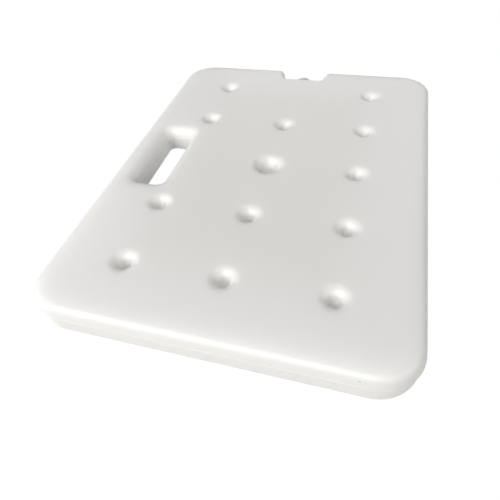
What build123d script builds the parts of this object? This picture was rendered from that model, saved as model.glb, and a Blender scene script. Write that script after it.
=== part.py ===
"""Reusable ice pack: a flat, rigid cold plate for a food transport box.

The body is blow-moulded in white polyethylene between two mould halves, filled with gel
and closed for good with a plug. It is one sealed solid here. Dimples pressed into both
faces stiffen them, and keep the plate flat when the gel freezes.

Millimetres. X runs across the plate, Y along it and Z up, from the middle of the underside.
"""

import os
from math import atan2, degrees, radians, tan

from build123d import *

# The plate, measured over the fine ridge at the parting line
plate_length = 400.0
plate_width = 300.0
plate_thickness = 30.0
corner_radius = 33.5

# The mould halves meet above the middle, and each has its own draft and edge rounding
upper_half_height = 11.0
upper_draft = 8.5
lower_draft = 3.0
upper_edge_radius = 5.0
lower_edge_radius = 5.0

# Ridge that the mould leaves where its halves meet
seam_proud = 0.4
seam_width = 1.2

# Dimples and hand slot sit this far off the middle of the outline, towards the filler
pattern_offset_y = 1.5

# Dimples, in columns and rows
column_pitch = 85.0
row_pitch = 72.0
dimple_depth = 10.0
dimple_floor_radius = 2.9
middle_dimple_floor_radius = 7.1
dimple_draft = 30.0
dimple_lip_radius = 8.5
dimple_root_radius = 4.0

# Hand slot through the plate. A rail of the plate stays between it and the left edge.
# Its corners are nearly sharp at the underside and open into wide rounds at the top.
slot_length = 88.0
slot_width = 29.0
slot_rail = 25.0
slot_draft = 3.0
slot_foot_corner_radius = 1.0
slot_corner_radius = 7.0
slot_mouth_end_flat = 4.0
slot_upper_lip_radius = 10.0
slot_lower_lip_radius = 8.5

# Notch in the far edge, which keeps the filler clear of knocks
notch_floor_width = 42.0
notch_depth = 20.0
notch_slant = 15.0
notch_shoulder_radius = 8.0
notch_corner_radius = 2.5

# Filler neck, which stands out of the notch floor
neck_radius = 8.5
neck_length = 3.0
neck_bore_radius = 5.5
neck_bore_depth = 14.0

# Plug, pressed into the neck and welded there
plug_head_radius = 11.0
plug_head_length = 7.5
plug_head_edge_radius = 2.0
plug_fit = 0.1
plug_end_gap = 2.0
plug_tip_chamfer = 1.0

lower_half_height = plate_thickness - upper_half_height
seam_angle = degrees(atan2(seam_proud, seam_width / 2))
dimple_flare = dimple_depth * tan(radians(dimple_draft))
slot_centre_x = slot_rail + slot_width / 2 - plate_width / 2
slot_mouth_corner_radius = (slot_width - slot_mouth_end_flat) / 2
notch_floor_y = plate_length / 2 - notch_depth
neck_end_y = notch_floor_y + neck_length
filler_z = plate_thickness / 2

parting_plane = Plane.XY.offset(lower_half_height)
top_plane = Plane.XY.offset(plate_thickness)
neck_end_plane = Plane(origin=(0, neck_end_y, filler_z), x_dir=(1, 0, 0), z_dir=(0, 1, 0))


def notch_outline():
    """Return the notch, from its floor to well outside the plate, with rounded shoulders."""
    floor_half = notch_floor_width / 2
    shoulder_half = floor_half + notch_depth * tan(radians(notch_slant))
    outside_half = shoulder_half + notch_shoulder_radius * 2
    edge_y = plate_length / 2
    with BuildSketch() as notch:
        with BuildLine():
            Polyline(
                (-outside_half, edge_y),
                (-shoulder_half, edge_y),
                (-floor_half, notch_floor_y),
                (floor_half, notch_floor_y),
                (shoulder_half, edge_y),
                (outside_half, edge_y),
                (outside_half, edge_y + notch_depth),
                (-outside_half, edge_y + notch_depth),
                close=True,
            )
        make_face()
        fillet(notch.vertices().group_by(Axis.Y)[0], notch_corner_radius)
        shoulders = notch.vertices().group_by(Axis.Y)[-2].sort_by(Axis.X)[1:-1]
        fillet(shoulders, notch_shoulder_radius)
    return notch.sketch


def plate_outline():
    """Return the outline at the parting line: a rounded rectangle with the notch."""
    with BuildSketch() as outline:
        RectangleRounded(plate_width, plate_length, corner_radius)
        add(notch_outline(), mode=Mode.SUBTRACT)
    return outline.sketch


def slot_outline():
    """Return the hand slot's outline at the parting line."""
    with BuildSketch() as outline:
        with Locations((slot_centre_x, pattern_offset_y)):
            RectangleRounded(slot_width, slot_length, slot_corner_radius)
    return outline.sketch


def slot_core(seam_height, face_height, face_corner):
    """Return what the slot takes from one mould half: drafted walls and conical corners."""
    flare = abs(face_height - seam_height) * tan(radians(slot_draft))
    levels = (
        (seam_height, slot_width / 2, slot_length / 2, slot_corner_radius),
        (face_height, slot_width / 2 + flare, slot_length / 2 + flare, face_corner),
    )
    with BuildPart() as core:
        # Full length between the corners' centres across, then full width between them along
        for narrowed, shortened in ((1, 0), (0, 1)):
            for height, half_width, half_length, corner in levels:
                with BuildSketch(Plane.XY.offset(height)):
                    with Locations((slot_centre_x, pattern_offset_y)):
                        Rectangle(
                            (half_width - corner * narrowed) * 2,
                            (half_length - corner * shortened) * 2,
                        )
            loft(ruled=True)
        for side in (-1, 1):
            for end in (-1, 1):
                for height, half_width, half_length, corner in levels:
                    x = slot_centre_x + side * (half_width - corner)
                    y = pattern_offset_y + end * (half_length - corner)
                    with BuildSketch(Plane.XY.offset(height)):
                        with Locations((x, y)):
                            Circle(corner)
                loft(ruled=True)
    return core.part


def grown(sketch, amount):
    """Return a sketch with its edges moved outwards, or inwards where amount is negative."""
    with BuildSketch() as result:
        add(sketch)
        offset(amount=amount, kind=Kind.ARC)
    return result.sketch


def dimple_centres():
    """List the small dimples: the whole grid, less its middle, the slot's and the notch's."""
    centres = []
    for column in (-1, 0, 1):
        for row in (-2, -1, 0, 1, 2):
            if (column, row) not in ((0, 0), (-1, 0), (0, 2)):
                centres.append((column * column_pitch, row * row_pitch + pattern_offset_y))
    return centres


def rims(part, radius, height):
    """Return the circular edges of one radius that lie at one height."""
    at_height = part.edges().filter_by_position(Axis.Z, height - 0.01, height + 0.01)
    circles = at_height.filter_by(GeomType.CIRCLE)
    return circles.filter_by(lambda edge: abs(edge.radius - radius) < 0.01)


plate = plate_outline()
plate_walls = grown(plate, -seam_proud)
slot_ridge = grown(slot_outline(), -seam_proud)
seam_top = lower_half_height + seam_width / 2
seam_bottom = lower_half_height - seam_width / 2

with BuildPart() as pack_body:
    # Upper and lower halves, drafted away from the parting plane
    with BuildSketch(parting_plane):
        add(plate_walls)
    extrude(amount=upper_half_height, taper=upper_draft)
    with BuildSketch(parting_plane):
        add(plate_walls)
    extrude(amount=-lower_half_height, taper=lower_draft)
    fillet(pack_body.faces().sort_by(Axis.Z)[-1].edges(), upper_edge_radius)
    fillet(pack_body.faces().sort_by(Axis.Z)[0].edges(), lower_edge_radius)

    # Ridge of the parting line round the edge
    with BuildSketch(parting_plane):
        add(plate)
    extrude(amount=seam_width / 2, taper=seam_angle)
    with BuildSketch(parting_plane):
        add(plate)
    extrude(amount=-seam_width / 2, taper=seam_angle)

    # Hand slot, which widens from the ridge towards both faces
    with BuildSketch(parting_plane):
        add(slot_ridge)
    extrude(amount=seam_width / 2, taper=-seam_angle, mode=Mode.SUBTRACT)
    with BuildSketch(parting_plane):
        add(slot_ridge)
    extrude(amount=-seam_width / 2, taper=-seam_angle, mode=Mode.SUBTRACT)
    add(slot_core(seam_top, plate_thickness, slot_mouth_corner_radius), mode=Mode.SUBTRACT)
    add(slot_core(seam_bottom, 0, slot_foot_corner_radius), mode=Mode.SUBTRACT)
    top_face = pack_body.faces().sort_by(Axis.Z)[-1]
    fillet(top_face.inner_wires().edges(), slot_upper_lip_radius)
    underside = pack_body.faces().sort_by(Axis.Z)[0]
    fillet(underside.inner_wires().edges(), slot_lower_lip_radius)

    # Dimples in both faces: bowls with a wide rounded lip and a rounded floor
    for floor_radius, centres in (
        (dimple_floor_radius, dimple_centres()),
        (middle_dimple_floor_radius, [(0, pattern_offset_y)]),
    ):
        mouth_radius = floor_radius + dimple_flare
        for face_plane, height, inwards in ((top_plane, plate_thickness, -1), (Plane.XY, 0, 1)):
            with BuildSketch(face_plane):
                with Locations(*centres):
                    Circle(mouth_radius)
            extrude(amount=inwards * dimple_depth, taper=dimple_draft, mode=Mode.SUBTRACT)
            fillet(rims(pack_body, mouth_radius, height), dimple_lip_radius)
            floor_height = height + inwards * dimple_depth
            fillet(rims(pack_body, floor_radius, floor_height), dimple_root_radius)

    # Filler neck with its bore
    with BuildSketch(neck_end_plane):
        Circle(neck_radius)
    extrude(amount=-neck_length - seam_width)
    with BuildSketch(neck_end_plane):
        Circle(neck_bore_radius)
    extrude(amount=-neck_bore_depth, mode=Mode.SUBTRACT)

with BuildPart() as filler_plug:
    with BuildSketch(neck_end_plane):
        Circle(plug_head_radius)
    extrude(amount=plug_head_length)
    fillet(filler_plug.faces().sort_by(Axis.Y)[-1].edges(), plug_head_edge_radius)
    with BuildSketch(neck_end_plane):
        Circle(neck_bore_radius - plug_fit)
    extrude(amount=-neck_bore_depth + plug_end_gap)
    chamfer(filler_plug.faces().sort_by(Axis.Y)[0].edges(), plug_tip_chamfer)

pack_body.part.label = "pack_body"
filler_plug.part.label = "filler_plug"

os.makedirs("parts", exist_ok=True)
export_step(pack_body.part, "parts/pack_body.step")
export_step(filler_plug.part, "parts/filler_plug.step")
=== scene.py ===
from math import e, radians

import bpy
from mathutils import Matrix, Vector

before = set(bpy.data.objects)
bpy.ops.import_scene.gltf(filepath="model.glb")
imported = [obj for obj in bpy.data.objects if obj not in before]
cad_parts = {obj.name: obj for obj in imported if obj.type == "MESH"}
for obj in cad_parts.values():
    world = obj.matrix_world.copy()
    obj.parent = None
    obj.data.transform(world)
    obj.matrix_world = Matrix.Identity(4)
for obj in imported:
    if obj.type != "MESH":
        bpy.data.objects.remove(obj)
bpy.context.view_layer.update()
bpy.ops.object.select_all(action="DESELECT")


# The plate is one shell of natural white polyethylene, blown between two mould halves and
# filled with gel. It shrinks as it cools, so its faces sink softly towards every edge and
# dimple, and its skin keeps the fine grain of the sand-blasted mould.

class Socket:
    """An output of a node. Sums written with it add Math nodes to its tree."""

    def __init__(self, tree, output=None):
        self.tree = tree
        self.output = output

    def node(self, kind, settings=None, inputs=None, result=0):
        """Add a node of any type, its settings first and then its sockets' values or links."""
        made = self.tree.nodes.new(kind)
        for name, setting in (settings or {}).items():
            setattr(made, name, setting)
        for name, value in (inputs or {}).items():
            if isinstance(value, Socket):
                self.tree.links.new(value.output, made.inputs[name])
            else:
                made.inputs[name].default_value = value
        return Socket(self.tree, made.outputs[result])

    def sibling(self, result):
        """Return another output of the same node."""
        return Socket(self.tree, self.output.node.outputs[result])

    def feed(self, node, name):
        """Link this output to a node's socket."""
        self.tree.links.new(self.output, node.inputs[name])

    def maths(self, operation, first, second):
        """Add a Math node for two values."""
        return self.node("ShaderNodeMath", {"operation": operation}, {0: first, 1: second})

    def __add__(self, other):
        return self.maths("ADD", self, other)

    def __radd__(self, other):
        return self.maths("ADD", other, self)

    def __sub__(self, other):
        return self.maths("SUBTRACT", self, other)

    def __rsub__(self, other):
        return self.maths("SUBTRACT", other, self)

    def __mul__(self, other):
        return self.maths("MULTIPLY", self, other)

    def __rmul__(self, other):
        return self.maths("MULTIPLY", other, self)

    def __truediv__(self, other):
        return self.maths("DIVIDE", self, other)

    def __rtruediv__(self, other):
        return self.maths("DIVIDE", other, self)

    def __rpow__(self, other):
        return self.maths("POWER", other, self)

    def __abs__(self):
        return self.maths("ABSOLUTE", self, 0.0)

    def at_least(self, other):
        return self.maths("MAXIMUM", self, other)

    def at_most(self, other):
        return self.maths("MINIMUM", self, other)

    def between(self, low, high):
        """Return 0 below low, 1 above high, and a smooth step from one to the other."""
        return self.node(
            "ShaderNodeMapRange",
            {"interpolation_type": "SMOOTHSTEP"},
            {"Value": self, "From Min": low, "From Max": high},
        )

    def noise(self, scale, detail):
        """Return a noise pattern over the places that this socket gives."""
        return self.node(
            "ShaderNodeTexNoise", {}, {"Vector": self, "Scale": scale, "Detail": detail}
        )

    def distance(self, place):
        """Return how far the places that this socket gives are from one place."""
        return self.node(
            "ShaderNodeVectorMath", {"operation": "DISTANCE"}, {0: self, 1: place}, "Value"
        )

    def mixed(self, first, second):
        """Return the mix of two colours, with this socket as its factor."""
        # A Mix node has inputs for each kind of value, and 6, 7 and 2 are the colours'
        return self.node(
            "ShaderNodeMix", {"data_type": "RGBA"}, {"Factor": self, 6: first, 7: second}, 2
        )

    def shape_surface(self, shader):
        """Use this output as the height of a shader's surface, in metres."""
        bump = self.node("ShaderNodeBump", {}, {"Height": self, "Distance": 1.0})
        bump.feed(shader, "Normal")


def polyethylene(name, translucency, light_depth):
    """Return a new material, its shader, and the place on the object in metres."""
    material = bpy.data.materials.new(name)
    material.use_nodes = True
    shader = material.node_tree.nodes["Principled BSDF"]
    shader.inputs["IOR"].default_value = polyethylene_ior
    shader.inputs["Subsurface Weight"].default_value = translucency
    shader.inputs["Subsurface Radius"].default_value = light_tint
    shader.inputs["Subsurface Scale"].default_value = light_depth
    place = Socket(material.node_tree).node("ShaderNodeTexCoord", result="Object")
    return material, shader, place


def dress(node_name, material):
    """Give a node its finish in place of the plain one."""
    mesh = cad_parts[node_name].data
    mesh.materials.clear()
    mesh.materials.append(material)


def outside_rectangle(x, y, half_width, half_length, corner_radius):
    """Return how far a point lies outside a rounded rectangle, below 0 inside it."""
    past_x = abs(x) - (half_width - corner_radius)
    past_y = abs(y) - (half_length - corner_radius)
    corner = x.node(
        "ShaderNodeCombineXYZ", {}, {"X": past_x.at_least(0.0), "Y": past_y.at_least(0.0)}
    )
    return corner.distance((0, 0, 0)) + past_x.at_least(past_y).at_most(0.0) - corner_radius


polyethylene_ior = 1.54
light_tint = (1.0, 0.97, 0.92)

body_white = (0.820, 0.809, 0.780, 1)
painted_rim_light_white = (0.885, 0.877, 0.860, 1)
speck_grey = (0.33, 0.31, 0.28, 1)
body_translucency = 0.8
body_light_depth = 0.010
body_shine = 0.65
body_roughness = 0.31
body_roughness_spread = 0.06

# The plate's outline. Its face falls by the sink at the edge, and less the further inside.
plate_half_width = 0.150
plate_half_length = 0.200
plate_corner_radius = 0.0335
edge_sink = 0.0022
edge_sink_reach = 0.0065

# The hand slot, with its corners as they are part-way up, and how the face sinks towards it
slot_centre_x = -0.1105
slot_half_width = 0.0145
slot_half_length = 0.044
slot_corner_radius = 0.010
slot_sink = 0.0010
slot_sink_reach = 0.012

# The dimples, which leave out the slot's place and the notch's, and how the face sinks there
pattern_offset_y = 0.0015
column_pitch = 0.085
row_pitch = 0.072
dimple_lip_radius = 0.0136
middle_dimple_lip_radius = 0.0178
dimple_sink = 0.0005
dimple_sink_reach = 0.012

# Inwards from the outline, the walls end, the face starts, and a band of painted light starts on
# it and fades out. The face is painted lighter near its edges, for light that the lit walls send
# in through the plastic. Faint clouds vary its white.
wall_end = 0.001
face_start = 0.005
painted_rim_light_start = 0.008
painted_rim_light_reach = 0.110
cloud_strength = 0.12

# Noise patterns, each as its scale and detail, and how high they stand on the skin
wave_pattern = (22.0, 1.0)
grain_pattern = (900.0, 2.0)
line_pattern = (1.0, 2.0)
cloud_pattern = (7.0, 2.0)
gloss_pattern = (60.0, 3.0)
line_stretch = (6, 6, 420)
wave_height = 0.00012
grain_height = 0.00001
line_height = 0.00010

# Specks of dark regrind in the near wall, each as its place and radius. A speck is dark out
# to its core and gone where its fade ends, both as shares of the radius.
specks = (
    ((0.1081, -0.1988, 0.0247), 0.00040),
    ((0.1090, -0.1988, 0.0248), 0.00035),
    ((0.1122, -0.1988, 0.0249), 0.00020),
)
speck_core = 0.6
speck_fade = 1.5

material, shader, place = polyethylene("milky_polyethylene", body_translucency, body_light_depth)
x = place.node("ShaderNodeSeparateXYZ", {}, {0: place})
y = x.sibling("Y")
plan = x.node("ShaderNodeCombineXYZ", {}, {"X": x, "Y": y})

inset = 0 - outside_rectangle(x, y, plate_half_width, plate_half_length, plate_corner_radius)
sink_share = inset / edge_sink_reach
sink = edge_sink / (sink_share * sink_share + 1)
from_slot = outside_rectangle(
    x - slot_centre_x, y - pattern_offset_y, slot_half_width, slot_half_length, slot_corner_radius
)
sink_share = from_slot.at_least(0.0) / slot_sink_reach
sink = sink + slot_sink * e ** (0 - sink_share * sink_share)
for column in (-1, 0, 1):
    for row in (-2, -1, 0, 1, 2):
        if (column, row) in ((-1, 0), (0, 2)):
            continue
        lip_radius = dimple_lip_radius
        if (column, row) == (0, 0):
            lip_radius = middle_dimple_lip_radius
        centre = (column * column_pitch, row * row_pitch + pattern_offset_y, 0)
        sink_share = (plan.distance(centre) - (lip_radius - dimple_lip_radius)) / dimple_sink_reach
        sink = sink + dimple_sink * e ** (0 - sink_share * sink_share)

# The shell meets the mould bit by bit as it is blown, which leaves faint level lines on its walls
line_place = place.node("ShaderNodeMapping", {}, {"Vector": place, "Scale": line_stretch})
lines = line_place.noise(*line_pattern) * (1 - inset.between(wall_end, face_start))
waves = place.noise(*wave_pattern)
grain = place.noise(*grain_pattern)
height = waves * wave_height + grain * grain_height + lines * line_height - sink
height.shape_surface(shader)

clean = 1.0
for centre, radius in specks:
    clean = place.distance(centre).between(radius * speck_core, radius * speck_fade) * clean
cloud = (place.noise(*cloud_pattern) - 0.5) * cloud_strength
# The lighter band near the edges is painted light, and the clouds are the plastic's own uneven
# tone.
painted_rim_light_and_clouds = inset.between(wall_end, painted_rim_light_start) * (1 - inset.between(0.0, painted_rim_light_reach)) + cloud
clean.mixed(speck_grey, painted_rim_light_and_clouds.mixed(body_white, painted_rim_light_white)).feed(shader, "Base Color")
gloss = place.noise(*gloss_pattern) * body_roughness_spread + body_roughness
gloss.feed(shader, "Roughness")
shader.inputs["Specular IOR Level"].default_value = body_shine
dress("pack_body", material)


# The plug is a separate moulding of the same natural polyethylene. Its colour is painted greyer
# than the plate's, as painted shade for the recess it sits in.
# It is pushed into the neck and spun until it welds, so its end shows the rings of its turning.
# Both whites are painted darker than the plate's, as painted shade from the recess; the noise
# between them is the weld's own uneven tone.
painted_shade_plug_white = (0.640, 0.632, 0.612, 1)
painted_shade_weld_white = (0.710, 0.702, 0.682, 1)
plug_translucency = 0.4
plug_light_depth = 0.002
plug_roughness = 0.30
plug_roughness_spread = 0.12
plug_axis_z = 0.015
ring_shape = {"Scale": 390.0, "Distortion": 0.6, "Detail": 1.0}
ring_height = 0.00003
plug_grain_pattern = (1400.0, 2.0)
plug_grain_height = 0.00001
weld_pattern = (160.0, 2.0)
plug_gloss_pattern = (300.0, 2.0)

material, shader, place = polyethylene("plug_polyethylene", plug_translucency, plug_light_depth)
about_axis = place.node(
    "ShaderNodeMapping", {}, {"Vector": place, "Location": (0, 0, -plug_axis_z)}
)
rings = place.node(
    "ShaderNodeTexWave",
    {"wave_type": "RINGS", "rings_direction": "Y"},
    {"Vector": about_axis, **ring_shape},
    "Fac",
)
grain = place.noise(*plug_grain_pattern)
(rings * ring_height + grain * plug_grain_height).shape_surface(shader)
place.noise(*weld_pattern).mixed(painted_shade_plug_white, painted_shade_weld_white).feed(shader, "Base Color")
gloss = place.noise(*plug_gloss_pattern) * plug_roughness_spread + plug_roughness
gloss.feed(shader, "Roughness")
dress("filler_plug", material)


# The plate lies on a wide sheet of white studio paper. The paper looks white to the camera
# and in reflections, and it still takes the plate's shadow.

def seen_share(tree):
    """Return 1 for what the camera sees, straight or in the plastic, and 0 for the rest."""
    straight = Socket(tree).node("ShaderNodeLightPath", result="Is Camera Ray")
    mirrored = straight.sibling("Is Glossy Ray")
    passed = straight.sibling("Is Transmission Ray")
    return straight.at_least(mirrored).at_least(passed)


paper_size = 8
paper_white = (0.52, 0.52, 0.52, 1)
paper_glow = 1.12
glow_share = 0.88

bpy.ops.mesh.primitive_plane_add(size=paper_size)
floor = bpy.context.object
floor.name = "floor"
paper = bpy.data.materials.new("studio_paper")
paper.use_nodes = True
paper.node_tree.nodes.clear()
seen = seen_share(paper.node_tree)
lit = seen.node("ShaderNodeBsdfDiffuse", {}, {"Color": paper_white})
glow = seen.node("ShaderNodeEmission", {}, {"Strength": paper_glow})
surface = seen.node("ShaderNodeMixShader", {}, {0: seen * glow_share, 1: lit, 2: glow})
surface.feed(paper.node_tree.nodes.new("ShaderNodeOutputMaterial"), "Surface")
floor.data.materials.append(paper)

# Behind the paper the studio is white too, and it lights the plate only a little.
studio_light = 0.02

world = bpy.data.worlds.new("studio")
bpy.context.scene.world = world
world.use_nodes = True
seen = seen_share(world.node_tree)
background = world.node_tree.nodes["Background"]
background.inputs["Color"].default_value = (1, 1, 1, 1)
(seen * (1 - studio_light) + studio_light).feed(background, "Strength")


# A long soft box stands low at the near left, with a weak one above it. They make the
# highlights on the near edge and in the dimples. The others fill the shade from all round.
# Each lamp has its name, place, width and height, and watts, and faces the plate's middle.
lamps = (
    ("near_left_box", (-1.058, -2.493, 1.290), (4.1, 1.5), 79.0),
    ("near_high_box", (-0.42, -1.05, 1.13), (1.8, 0.4), 4.5),
    ("far_box", (0.0, 1.45, 0.676), (1.2, 1.2), 2.1),
    ("right_box", (1.386, 0.0, 0.8), (2.2, 1.2), 6.7),
    ("left_box", (-1.386, 0.0, 0.8), (2.2, 1.2), 6.9),
    ("top_box", (0.0, -0.03, 1.6), (1.2, 1.2), 3.7),
)
for name, spot, (width, height), power in lamps:
    light = bpy.data.lights.new(name, "AREA")
    light.shape = "RECTANGLE"
    light.size = width
    light.size_y = height
    light.energy = power
    lamp = bpy.data.objects.new(name, light)
    lamp.location = spot
    lamp.rotation_euler = (-Vector(spot)).to_track_quat("-Z", "Y").to_euler()
    bpy.context.scene.collection.objects.link(lamp)


# The camera looks down on the near right part of the plate, as the photograph does, from
# close by, so that the near edge is large and the far end narrows.
camera_place = Vector((0.0905, -0.3217, 0.2807))
camera_aim = Vector((0.01256, -0.11039, 0.030))
camera_roll = radians(-6.275)
camera_sensor = 36
camera_lens = 30.18

camera_data = bpy.data.cameras.new("camera")
camera_data.sensor_width = camera_sensor
camera_data.lens = camera_lens
camera = bpy.data.objects.new("camera", camera_data)
level = (camera_aim - camera_place).to_track_quat("-Z", "Y").to_matrix()
rolled = level @ Matrix.Rotation(camera_roll, 3, "Z")
camera.matrix_world = Matrix.Translation(camera_place) @ rolled.to_4x4()
bpy.context.scene.collection.objects.link(camera)
bpy.context.scene.camera = camera
bpy.context.scene.view_settings.view_transform = "Standard"
